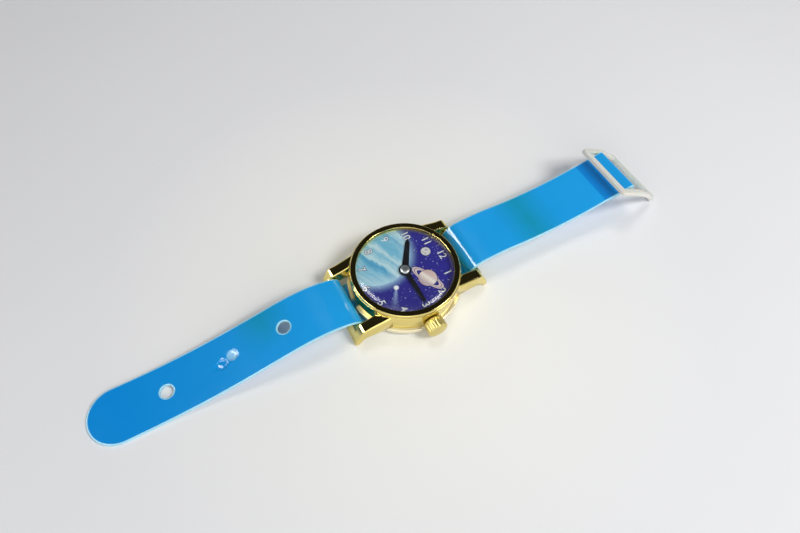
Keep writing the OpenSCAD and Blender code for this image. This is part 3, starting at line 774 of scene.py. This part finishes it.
def add_lug(bm, case, sx, sy):
    """One lug: rings of its side outline across its width, with rounded edges at both faces."""
    steps = 5
    near = case.lug_gap / MM
    root_w, end_w = case.lug_root / MM, case.lug_end / MM
    bury = case.wall_radius / MM - 0.3
    bevel = case.lug_bevel / MM
    taper = (root_w - end_w) / (LUG_TOP_TIP.x + LUG_END_RUN - LUG_TOP_ROOT.x)
    rings = []
    for outer in (False, True):
        x_guess = near + (root_w if outer else 0.0)
        root_y = math.sqrt(bury * bury - x_guess * x_guess)
        outline, sizes = lug_profile(root_y, bevel, 1.7 if outer else 1.0)
        turn = quarter(steps)
        for pull, sink in reversed(turn) if outer else turn:
            ring = []
            for point, size in zip(inset(outline, [size * pull for size in sizes]), sizes):
                x = near + size * sink
                if outer:
                    x = near + root_w - taper * (point.x - LUG_TOP_ROOT.x) - size * sink
                ring.append((sx * x, sy * point.x, point.y))
            rings.append(ring)
    add_rings(bm, rings, caps=True)


def add_end_plate(bm, case, sy):
    """Plate between two lugs, with the rounded top that the strap bends over."""
    reach = case.lug_gap / MM + 0.7
    face = end_face(PLATE_TOP.y - 0.15, 8)
    foot = [Vector((17.6, 0.12)), Vector((17.72, 0.0)), Vector((19.1, 0.0))]
    outline = arc(PLATE_TOP.x, PLATE_TOP.y, PLATE_TOP_R, 0, 180, 20) + foot + face[-2::-1]
    add_rings(bm, [[(x, sy * p.x, p.y) for p in outline] for x in (-reach, reach)], caps=True)


class WATCH_OT_case(bpy.types.Operator):
    """Make the case wall with its lugs and end plates"""
    bl_idname = "watch.case"
    bl_label = "Case"

    def execute(self, context):
        case = context.scene.watch_case
        wall = case.wall_radius / MM
        top = HIGH["case_body"].z
        seat_z, ledge_z = LOW["crystal"].z - 0.02, 5.63
        seat_r, ledge_r, inner_r = wall - 0.91, wall - 1.55, wall - 2.15
        bm = bmesh.new()
        revolve(bm, rounded((inner_r, WALL_Z, 0), (wall, WALL_Z, 0.14), (wall, top, 0.08),
                            (seat_r, top, 0.12), (seat_r, seat_z, 0), (ledge_r, seat_z, 0),
                            (ledge_r, ledge_z, 0), (inner_r, ledge_z, 0)))
        for sy in (-1, 1):
            for sx in (-1, 1):
                add_lug(bm, case, sx, sy)
            add_end_plate(bm, case, sy)
        finish_piece(bm, "case_shell", [finish_gold_plate], "case", ["case_body"])
        return {"FINISHED"}


class WATCH_OT_bezel(bpy.types.Operator):
    """Make the polished ring round the crystal"""
    bl_idname = "watch.bezel"
    bl_label = "Bezel"

    def execute(self, context):
        outer, inner, seat_r = HIGH["bezel"].x, HIGH["bezel"].x - BEZEL_WIDTH, 13.33
        skirt = context.scene.watch_case.wall_radius / MM - 0.08
        low, high, seat_z = LOW["bezel"].z, HIGH["bezel"].z, 7.66
        bm = bmesh.new()
        revolve(bm, rounded((seat_r, low, 0), (skirt, low, 0.06), (outer, high, 0.2), (inner, high, 0.12),
                            (inner, seat_z, 0.04), (seat_r, seat_z, 0), steps=8))
        finish_piece(bm, "bezel_ring", [finish_gold_plate], "case", ["bezel"])
        return {"FINISHED"}


class WATCH_OT_crystal(bpy.types.Operator):
    """Make the clear domed window"""
    bl_idname = "watch.crystal"
    bl_label = "Crystal"

    def execute(self, context):
        flange, edge = HIGH["crystal"].x, HIGH["bezel"].x - BEZEL_WIDTH - WINDOW_GAP
        low, high = LOW["crystal"].z, HIGH["crystal"].z
        steps, flatness, thick = 40, 9.0, 0.6
        rise = high - low - thick

        def dome(radius, base, reach):
            return (radius, base + rise * (1 - (radius / reach) ** flatness))

        spread = [math.sin(math.pi / 2 * k / steps) for k in range(steps + 1)]
        outer = [dome(edge * s, low + thick, edge) for s in reversed(spread)]
        under = [dome((edge - thick) * s, low, edge - thick) for s in spread]
        bm = bmesh.new()
        revolve(bm, [(flange, low), (flange, low + thick)] + outer + under)
        finish_piece(bm, "crystal_dome", [finish_clear_window], "case", ["crystal"])
        return {"FINISHED"}


class WATCH_OT_case_back(bpy.types.Operator):
    """Make the case back with its flange and pry notch"""
    bl_idname = "watch.case_back"
    bl_label = "Case back"

    def execute(self, context):
        rim = HIGH["case_back"].x
        low, inner_r = LOW["case_back"].z, 12.01
        high, floor = low + 1.55, low + 0.6
        profile = rounded((0, low, 0), (rim, low, 0.32), (rim, high, 0.24), (inner_r, high, 0.1),
                          (inner_r, floor, 0), (0, floor, 0))
        # Direction, half width and flat of the pry notch and of the relief beside the crown
        notches = ((-90, 1.3, rim - 0.9), (0, 3.1, 14.15))
        sides = [math.degrees(math.asin(half / rim)) for _, half, _ in notches]
        rings = []

        def sweep(start, end, steps, direction=0.0, flat=0.0):
            for k in range(steps + 1):
                a = math.radians(start + (end - start) * k / steps)
                limit = flat / math.cos(a - math.radians(direction)) if flat else rim
                rings.append(spun([(min(r, limit), h) for r, h in profile], a))

        for (direction, _, flat), side in zip(notches, sides):
            sweep(direction - side, direction + side, 10, direction, flat)
            if direction:
                sweep(direction + side, -sides[1], 40)
        sweep(sides[1], 270 - sides[0], 130)
        bm = bmesh.new()
        add_rings(bm, rings, joined=True)
        finish_piece(bm, "case_back_cover", [finish_pale_gold], "case", ["case_back"])
        return {"FINISHED"}


class WATCH_OT_crown(bpy.types.Operator):
    """Make the ribbed crown"""
    bl_idname = "watch.crown"
    bl_label = "Crown"

    def execute(self, context):
        ribs = context.scene.watch_case.crown_ribs
        low, high = LOW["crown"], HIGH["crown"]
        radius, middle = (high.y - low.y) / 2, HINGE["crown_spin"].z
        groove, back, bore, nose, bulge = 0.15, -0.7, 0.76, 0.42, 0.12
        front = high.x - low.x - bulge
        # Distance along the crown, radius and share of the groove's depth
        stations = [(back, bore, 0.0), (back, radius - 0.25, 0.0), (back + 0.04, radius - 0.16, 0.25),
                    (back + 0.15, radius - 0.05, 0.7), (back + 0.3, radius, 1.0), (front * 0.5, radius, 1.0)]
        for pull, sink in quarter(6):
            stations.append((front - nose * pull, radius - nose * sink, (1 - sink) ** 0.7))
        stations += [(front + 0.03, radius - 0.75, 0.0), (front + 0.09, radius * 0.4, 0.0),
                     (front + bulge, 0.02, 0.0)]
        rings = []
        for x, r, depth in stations:
            ring = []
            for a in around(ribs * 10):
                wave = (0.5 - 0.5 * math.cos(a * ribs)) ** 2.2
                at = r - groove * depth * wave
                ring.append((low.x + x, at * math.cos(a), middle + at * math.sin(a)))
            rings.append(ring)
        bm = bmesh.new()
        add_rings(bm, rings, caps=True)
        finish_piece(bm, "crown_knob", [finish_satin_gold], "crown", ["crown"])
        return {"FINISHED"}


# Dial, hands and movement

class WATCH_OT_dial(bpy.types.Operator):
    """Finish the printed dial and add its numerals"""
    bl_idname = "watch.dial"
    bl_label = "Dial"

    def numerals(self, name, settings, grow, low, high, maker):
        """All twelve numerals as one mesh, grown by an outline's width."""
        height, at = settings.numeral_height / MM, settings.numeral_circle / MM
        size_per_height = 1.38
        bm = bmesh.new()
        for hour in range(1, 13):
            text = bpy.data.curves.new("numeral", "FONT")
            text.body = str(hour)
            text.size = height * size_per_height
            text.align_x = "CENTER"
            text.space_character = 0.94
            text.offset = grow
            text.extrude = (high - low) / 2
            text.resolution_u = 5
            carrier = bpy.data.objects.new("numeral", text)
            bpy.context.scene.collection.objects.link(carrier)
            ready = carrier.evaluated_get(bpy.context.evaluated_depsgraph_get())
            shape = bpy.data.meshes.new_from_object(ready)
            bpy.data.objects.remove(carrier)
            bpy.data.curves.remove(text)
            a = math.radians(90 - 30 * hour)
            foot = at * math.sin(a) - height / 2
            shape.transform(Matrix.Translation((at * math.cos(a), foot, (low + high) / 2)))
            bm.from_mesh(shape)
            bpy.data.meshes.remove(shape)
        finish_piece(bm, name, [maker], "case", crease=30)

    def execute(self, context):
        settings = context.scene.watch_dial
        face = HIGH["dial_card"].z
        outline_top, face_top = face + 0.012, face + 0.022
        paint_nodes(finish_dial_print, "dial_card")
        self.numerals("numeral_outlines", settings, 0.15, face, outline_top, finish_dark_ink)
        self.numerals("numeral_faces", settings, 0.02, outline_top, face_top, finish_white_ink)
        return {"FINISHED"}


class WATCH_OT_hands(bpy.types.Operator):
    """Make the hour hand, the minute hand and the rivet that holds them"""
    bl_idname = "watch.hands"
    bl_label = "Hands"

    def hand(self, node, reach, root_w, degrees):
        """One hand: a round eye, a blade that narrows from root_w, and a blunt point."""
        eye, bore, rounding = 1.6, 0.54, 0.06
        tip_w, point_w, point_h = 0.72 * root_w, 0.32, 0.1
        meet = math.degrees(math.asin(root_w / 2 / eye))
        side = [Vector((tip_w / 2, reach - tip_w)), Vector((point_w / 2, reach - point_h))]
        outline = arc(0, 0, eye, 90 + meet, 450 - meet, 48) + side + [Vector((0, reach))]
        outline += [Vector((-p.x, p.y)) for p in reversed(side)]
        bm = bmesh.new()
        plate(bm, [outline, hole_outline(0, 0, bore, 40)], LOW[node].z, HIGH[node].z, rounding, steps=3)
        turn = Matrix.Rotation(math.radians(-degrees), 3, "Z")
        bmesh.ops.rotate(bm, cent=(0, 0, 0), matrix=turn, verts=bm.verts)
        finish_piece(bm, node + "_blade", [finish_black_enamel], "hands", [node], crease=50)

    def execute(self, context):
        self.hand("hour_hand", 9.8, 1.75, 303)
        self.hand("minute_hand", 10.5, 1.35, 90)
        foot, low, high = LOW["hub_rivet"].z, HIGH["minute_hand"].z + 0.04, HIGH["hub_rivet"].z
        radius, shank, brim, steps = HIGH["hub_rivet"].x, 0.5, 0.12, 12
        head = [(0, foot), (shank, foot), (shank, low), (radius - 0.05, low), (radius, low + 0.05)]
        for k in range(steps, -1, -1):
            s = math.sin(math.pi / 2 * k / steps)
            dome = (high - low - brim) * math.sqrt(max(0.0, 1 - (s * 0.985) ** 2))
            head.append((radius * s, low + brim + dome - 0.03 * (1 - s)))
        bm = bmesh.new()
        revolve(bm, head, segments=72)
        finish_piece(bm, "hub_rivet_head", [finish_rivet_metal], "hands", ["hub_rivet"])
        return {"FINISHED"}


class WATCH_OT_movement(bpy.types.Operator):
    """Finish the gears, the stem and the dial plate inside the case"""
    bl_idname = "watch.movement"
    bl_label = "Movement"

    def execute(self, context):
        paint_nodes(finish_gear_plastic, "hand_wheel", "stem", "dial_plate")
        return {"FINISHED"}


# Strap and buckle

class Trail:
    """A line in the (y, z) plane made of arcs and straights, each move a length and a turn in degrees."""

    def __init__(self, y, z, moves):
        self.parts = []
        heading, along = 0.0, 0.0
        for run, turn in moves:
            turn = math.radians(turn)
            self.parts.append((along, run, y, z, heading, turn))
            y, z, heading = self.after(y, z, heading, run, turn, 1.0)
            along += run
        self.length = along

    @staticmethod
    def after(y, z, heading, run, turn, part):
        """Place and heading after a part of one move."""
        if abs(turn) < 1e-9:
            return y + run * part * math.cos(heading), z + run * part * math.sin(heading), heading
        radius = run / turn
        new = heading + turn * part
        y += radius * (math.sin(new) - math.sin(heading))
        z -= radius * (math.cos(new) - math.cos(heading))
        return y, z, new

    def at(self, distance):
        """Place and heading at a distance along the line."""
        part = next((p for p in reversed(self.parts) if p[0] <= distance), self.parts[0])
        along, run, y, z, heading, turn = part
        return self.after(y, z, heading, run, turn, (distance - along) / run)

    def stations(self):
        """Distances at which a mesh is cut so that it bends smoothly."""
        cuts = []
        for along, run, _, _, _, turn in self.parts:
            pieces = max(int(run / 2.0) + 1, int(abs(math.degrees(turn)) / 2.5) + 1)
            cuts += [along + run * k / pieces for k in range(pieces)]
        return [c for c in cuts if c > 1e-4]


# The strap's middle line: its height on the table, its moves from the middle of the case up behind
# an end plate, and the radii of its turns over the plate's top and round the buckle's bar
STRAP_Z = 0.3
UNDER_CASE = [(14.7, 0), (math.pi / 2, 90), (1.8, 0)]
BAR_TURN_R = 1.5
LOOP_R = 0.94
# Degrees by which the loop turns past half a turn, so that the tail closes on the strap
TAIL_CLOSE = 35
# Points round a dent, the width of the band of painted glow beside a cut edge, and how much at its root has
# no band
DENT_POINTS = 48
GLOW_BAND = 0.2
SEAM = 0.35
# Where (y, z) the strap's blend from the case to its own body would begin and end, in metres; nothing here
# uses them
BLEND_FROM, BLEND_TO = (0.0157, 0.0033), (0.0172, 0.0046)


def over_plate(lean, knee_r, rise, crest):
    """Moves from under the case over an end plate's rounded top, round a wider knee and up to the crest."""
    turn = 90 - lean
    knee = lean - rise
    return UNDER_CASE + [(BAR_TURN_R * math.radians(turn), -turn), (knee_r * math.radians(knee), -knee),
                         (crest, -rise)]


def dent(bm, x, y, high, radius, steps, finish_index):
    """Lines a dent in a plate's upper face. Steps are (share of the radius, depth)."""
    rings = []
    for part, depth in [(1.0, 0.0)] + steps:
        ring = hole_outline(x, y, radius * part, DENT_POINTS)
        rings.append([(p.x, p.y, high - depth) for p in ring])
    before = set(bm.faces)
    bm.faces.new(add_rings(bm, rings)[-1])
    for face in set(bm.faces) - before:
        face.material_index = finish_index


class WATCH_OT_strap(bpy.types.Operator):
    """Make the vinyl strap: the half with holes and the half with the buckle's loop"""
    bl_idname = "watch.strap"
    bl_label = "Strap"

    def bend(self, bm, trail, way, doubled):
        """Bends a flat strip, drawn along +Y, to a trail, which runs to +Y or -Y."""
        shade_layer = bm.verts.layers.float.new("doubled")
        for vert in bm.verts:
            x, distance, off = vert.co
            y, z, heading = trail.at(min(distance, trail.length))
            # Marks the stretch of strap that takes painted shade
            vert[shade_layer] = 1.0 if doubled[0] < distance < doubled[1] else 0.0
            vert.co = (x, way * (y - off * math.sin(heading)), z + off * math.cos(heading))

    def half(self, name, trail, outlines, marks, way, doubled, body, replaced, settings):
        """One half of the strap, from flat outlines and marks."""
        thick = settings.thickness / MM
        dents = [hole_outline(x, y, r, DENT_POINTS) for x, y, r, _, _ in marks]
        bm = bmesh.new()
        plate(bm, outlines, -thick / 2, thick / 2, settings.edge / MM, steps=3, dents=dents, band=GLOW_BAND,
              edge_index=1)
        for x, y, r, steps, index in marks:
            dent(bm, x, y, thick / 2, r, steps, index)
        bmesh.ops.remove_doubles(bm, verts=bm.verts, dist=1e-5)
        # The halves meet under the case, where the strap has no cut edge and so no painted glow
        for face in bm.faces:
            if face.calc_center_median().y < SEAM:
                face.material_index = 0
        # Two close cuts keep the edge of the painted shade sharp
        slice_along(bm, trail.stations() + [doubled[0] - 0.05, doubled[0] + 0.05])
        self.bend(bm, trail, way, doubled)
        start, end = [(0, way * y, z) for y, z in (BLEND_FROM, BLEND_TO)]
        finish_piece(bm, name, [finish_vinyl, finish_vinyl_cut, finish_vinyl_pressed],
                     ("case", body, start, end), replaced)

    def execute(self, context):
        settings = context.scene.watch_strap
        half_w, hole = settings.width / MM / 2, settings.hole_radius / MM

        # The half with holes falls from its crest to the table and lies flat up to its tip
        crest, landing, fall, free = 8.2, 29, 12.5, 57.4
        start = over_plate(lean=45, knee_r=5.5, rise=17.5725, crest=6.6861) + [(crest, -fall)]
        lead = Trail(0, STRAP_Z, start)
        top = lead.at(lead.length)[1]
        fall_angle = math.radians(fall)
        landing_drop = landing / fall_angle * (1 - math.cos(fall_angle))
        slope = (top - STRAP_Z - landing_drop) / math.sin(fall_angle)
        flat = free - crest - slope - landing
        trail = Trail(0, STRAP_Z, start + [(slope, 0), (landing, fall), (flat, 0)])
        tip = trail.length
        outline = [Vector((-half_w, 0)), Vector((half_w, 0))] + arc(0, tip - half_w, half_w, 0, 180, 60)
        holes = [hole_outline(0, tip - d, hole, 64) for d in (18.5, 49.1)]
        # A ring-shaped dent and a cup-shaped one, each with its place, radius, steps and finish
        ring = [(0.94, 0.05), (0.86, 0.17), (0.74, 0.22), (0.5, 0.19), (0.2, 0.12)]
        cup = [(0.95, 0.02), (0.86, 0.08), (0.74, 0.15), (0.5, 0.2), (0.2, 0.22)]
        marks = [(0.45, tip - 32.25, 1.4, ring, 0), (-0.45, tip - 35.35, 1.4, cup, 2)]
        self.half("strap_with_holes", trail, [outline] + holes, marks, -1, (tip + 1, tip + 2), "hole_strap",
                  ["strap_hole_end", "strap_under_case"], settings)

        # The other half ends in a loop round the buckle's bar, with its tail laid back on the strap
        tail, tail_gap, bend_len = 7, 0.64, 0.9
        close = math.radians(TAIL_CLOSE)
        loop = math.radians(180 + TAIL_CLOSE) * LOOP_R
        lift = LOOP_R * (1 + math.cos(close)) - tail_gap - bend_len / close * (1 - math.cos(close))
        slant = lift / math.sin(close)
        rest = tail - LOOP_R * math.sin(close) - slant * math.cos(close) - bend_len
        trail = Trail(0, STRAP_Z, over_plate(lean=55, knee_r=5.0, rise=5.4705, crest=5.8446) + [
            (4, -5), (9, 5), (18, 10), (10.9, 0),
            (loop, -180 - TAIL_CLOSE), (slant, 0), (bend_len, TAIL_CLOSE), (rest, 0)])
        end = trail.length
        outline = [Vector(p) for p in ((-half_w, 0), (half_w, 0), (half_w, end), (-half_w, end))]
        # Painted shade: the strap beside the loop is darker where its tail lies below it
        loop_at = end - rest - bend_len - slant - loop
        shaded = (loop_at - 8.4, loop_at - 4.6)
        self.half("strap_with_loop", trail, [outline], [], 1, shaded, "buckle_strap", ["strap_buckle_end"],
                  settings)
        return {"FINISHED"}


class WATCH_OT_buckle(bpy.types.Operator):
    """Make the arched slide buckle with its three bars"""
    bl_idname = "watch.buckle"
    bl_label = "Buckle"

    def execute(self, context):
        settings = context.scene.watch_buckle
        thick, arm, arch = settings.frame_thickness / MM, settings.arm_width / MM, settings.arch_radius / MM
        centre = HINGE["buckle_hinge"]
        half_w = HIGH["buckle"].x
        inner_at, outer_at, bar_r, centre_r = 5.25, 11.9, 0.9, 0.55
        rear, front = -inner_at - bar_r, outer_at + 0.2
        window, window_rear, window_front = half_w - arm, bar_r - inner_at, front - 0.9
        outline = rounded((-half_w, front, 0.5), (-half_w, rear, 1.4), (half_w, rear, 1.4),
                          (half_w, front, 0.5), steps=8)
        opening = rounded((-window, window_rear, 0.35), (-window, window_front, 0.35),
                          (window, window_front, 0.35), (window, window_rear, 0.35))
        bm = bmesh.new()
        plate(bm, [outline, opening], -thick / 2, thick / 2, 0.28, steps=4)
        slice_along(bm, [rear + 0.7 * k for k in range(1, 26)])
        for vert in bm.verts:
            x, y, off = vert.co
            a = y / arch
            vert.co = (x, (arch + off) * math.sin(a), (arch + off) * math.cos(a) - arch)

        def add_bar(y, z, radius, reach, blunt):
            """A round bar along X with blunt ends."""
            ends = [(-reach + blunt * pull, radius - blunt * sink) for pull, sink in quarter(8)]
            add_rings(bm, [[(x, y + r * math.cos(a), z + r * math.sin(a)) for a in around(40)]
                           for x, r in sorted(ends + [(-x, r) for x, r in ends])], caps=True)

        turn = outer_at / arch
        add_bar(arch * math.sin(turn), arch * math.cos(turn) - arch, bar_r, half_w, 0.5)
        add_bar(0, 0, centre_r, half_w - arm / 2, 0.1)
        # Tilted so that the outer bar lies on the table
        chord = 2 * arch * math.sin(turn / 2)
        tilt = math.asin((centre.z - bar_r) / chord) - turn / 2
        bmesh.ops.rotate(bm, cent=(0, 0, 0), matrix=Matrix.Rotation(-tilt, 3, "X"), verts=bm.verts)
        bmesh.ops.translate(bm, vec=centre, verts=bm.verts)
        finish_piece(bm, "buckle_frame_moulding", [finish_buckle_plastic], "buckle_frame",
                     ["buckle"])
        return {"FINISHED"}


# Stage

IMAGE_W, IMAGE_H = 800, 533
LENS_PIXELS = 600.0


def camera_matrix():
    """Place and turn of the camera, from the direction, roll and picture point of the bezel's middle."""
    azimuth, elevation, roll = -0.5425, 1.0092, 0.0454
    pixel, distance, target = (405.135, 267.579), 151.04, Vector((0, 0, 7.92))
    level = math.cos(elevation)
    back = Vector((level * math.cos(azimuth), level * math.sin(azimuth), math.sin(elevation)))
    right = Vector((-math.sin(azimuth), math.cos(azimuth), 0))
    up = back.cross(right)
    rolled_right = right * math.cos(roll) + up * math.sin(roll)
    rolled_up = up * math.cos(roll) - right * math.sin(roll)
    world = Matrix((rolled_right, rolled_up, back))
    seen = Vector((pixel[0] - IMAGE_W / 2, IMAGE_H / 2 - pixel[1], -LENS_PIXELS)).normalized()
    turn = Vector((0, 0, -1)).rotation_difference(seen).to_matrix()
    matrix = (turn @ world).transposed().to_4x4()
    matrix.translation = (target + back * distance) * MM
    return matrix


class WATCH_OT_stage(bpy.types.Operator):
    """Set the floor, the lamps, the surroundings and the camera"""
    bl_idname = "watch.stage"
    bl_label = "Stage"

    def lamp(self, name, towards, distance, size, watts, tint):
        """Soft rectangular lamp in a direction from the watch, its width along X, and facing the watch."""
        data = bpy.data.lights.new(name, "AREA")
        data.shape = "RECTANGLE"
        data.size, data.size_y = size
        data.energy = watts
        data.color = tint
        lamp = bpy.data.objects.new(name, data)
        out = Vector(towards).normalized()
        side = (Vector((1, 0, 0)) - out * out.x).normalized()
        lamp.matrix_world = Matrix((side, out.cross(side), out)).transposed().to_4x4()
        lamp.location = out * distance
        bpy.context.scene.collection.objects.link(lamp)
        return lamp

    def surroundings(self):
        """Dark room overhead, paler towards the horizon."""
        world = bpy.data.worlds.new("room")
        bpy.context.scene.world = world
        world.use_nodes = True
        room = Nodes(world.node_tree)
        height = room.axes(room.add("ShaderNodeTexCoord", out="Generated"))[2]
        tint = room.ramp(height, (0.0, HORIZON), (0.28, (0.55, 0.55, 0.56, 1.0)),
                         (0.46, (0.022, 0.02, 0.017, 1.0)), (1.0, (0.012, 0.012, 0.012, 1.0)))
        plug(room.tree, world.node_tree.nodes["Background"].inputs["Color"], tint)

    def execute(self, context):
        stage = context.scene.watch_stage
        bpy.ops.mesh.primitive_grid_add(x_subdivisions=8, y_subdivisions=8, size=3.0)
        floor = context.object
        floor.name = "floor"
        floor.data.materials.append(finish(finish_floor))
        warm, cool, white = (1.0, 0.99, 0.97), (0.97, 0.98, 1.0), (1.0, 1.0, 1.0)
        self.lamp("right lamp", (0.46, 0.48, 0.75), 0.62, (0.22, 0.2), stage.key, warm)
        left = self.lamp("left lamp", (-0.38, 0.18, 0.91), 0.5, (0.15, 0.15), stage.rim, warm)
        left.visible_glossy = False
        # Cards that only gloss shows, for the bright bars on the plating, the window and the strap's knee
        for name, towards, (wide, high), strength in (
                ("left card", (-0.495, -0.69, 0.525), (0.045, 0.25), stage.side_card),
                ("near left card", (-0.37, -0.745, 0.555), (0.045, 0.25), stage.side_card),
                ("window card", (-0.17, -0.57, 0.8), (0.16, 0.15), stage.card),
                ("strap card", (-0.44, -0.62, 0.65), (0.06, 0.1), stage.card)):
            card = self.lamp(name, towards, 0.5, (wide, high), strength * wide * high, cool)
            card.visible_diffuse = False
        self.lamp("front lamp", (0.8, -0.5, 0.55), 0.6, (0.8, 0.62), stage.fill, white)
        self.surroundings()
        data = bpy.data.cameras.new("photo camera")
        data.sensor_width = 36.0
        data.lens = LENS_PIXELS / IMAGE_W * data.sensor_width
        data.clip_start = 0.005
        camera = bpy.data.objects.new("photo camera", data)
        camera.matrix_world = camera_matrix()
        context.scene.collection.objects.link(camera)
        context.scene.camera = camera
        context.scene.view_settings.view_transform = "Standard"
        return {"FINISHED"}


OPERATORS = (WATCH_OT_stage, WATCH_OT_case, WATCH_OT_bezel, WATCH_OT_crystal, WATCH_OT_case_back,
             WATCH_OT_crown, WATCH_OT_dial, WATCH_OT_hands, WATCH_OT_movement, WATCH_OT_strap,
             WATCH_OT_buckle)


class WATCH_PT_sidebar(bpy.types.Panel):
    """Lists the watch's settings and its building steps"""
    bl_label = "Toy Wristwatch"
    bl_space_type = "VIEW_3D"
    bl_region_type = "UI"
    bl_category = "Watch"

    def draw(self, context):
        for name, group in SETTINGS.items():
            box = self.layout.box()
            box.label(text=group.__doc__)
            for setting in group.__annotations__:
                box.prop(getattr(context.scene, name), setting)
        for operator in OPERATORS:
            self.layout.operator(operator.bl_idname)


def register():
    for group in SETTINGS.values():
        bpy.utils.register_class(group)
    for name, group in SETTINGS.items():
        setattr(bpy.types.Scene, name, PointerProperty(type=group))
    for operator in OPERATORS:
        bpy.utils.register_class(operator)
    bpy.utils.register_class(WATCH_PT_sidebar)


def unregister():
    bpy.utils.unregister_class(WATCH_PT_sidebar)
    for operator in reversed(OPERATORS):
        bpy.utils.unregister_class(operator)
    for name, group in SETTINGS.items():
        delattr(bpy.types.Scene, name)
        bpy.utils.unregister_class(group)


def main():
    register()
    for operator in OPERATORS:
        getattr(bpy.ops.watch, operator.bl_idname.split(".")[1])()


if __name__ == "__main__":
    main()
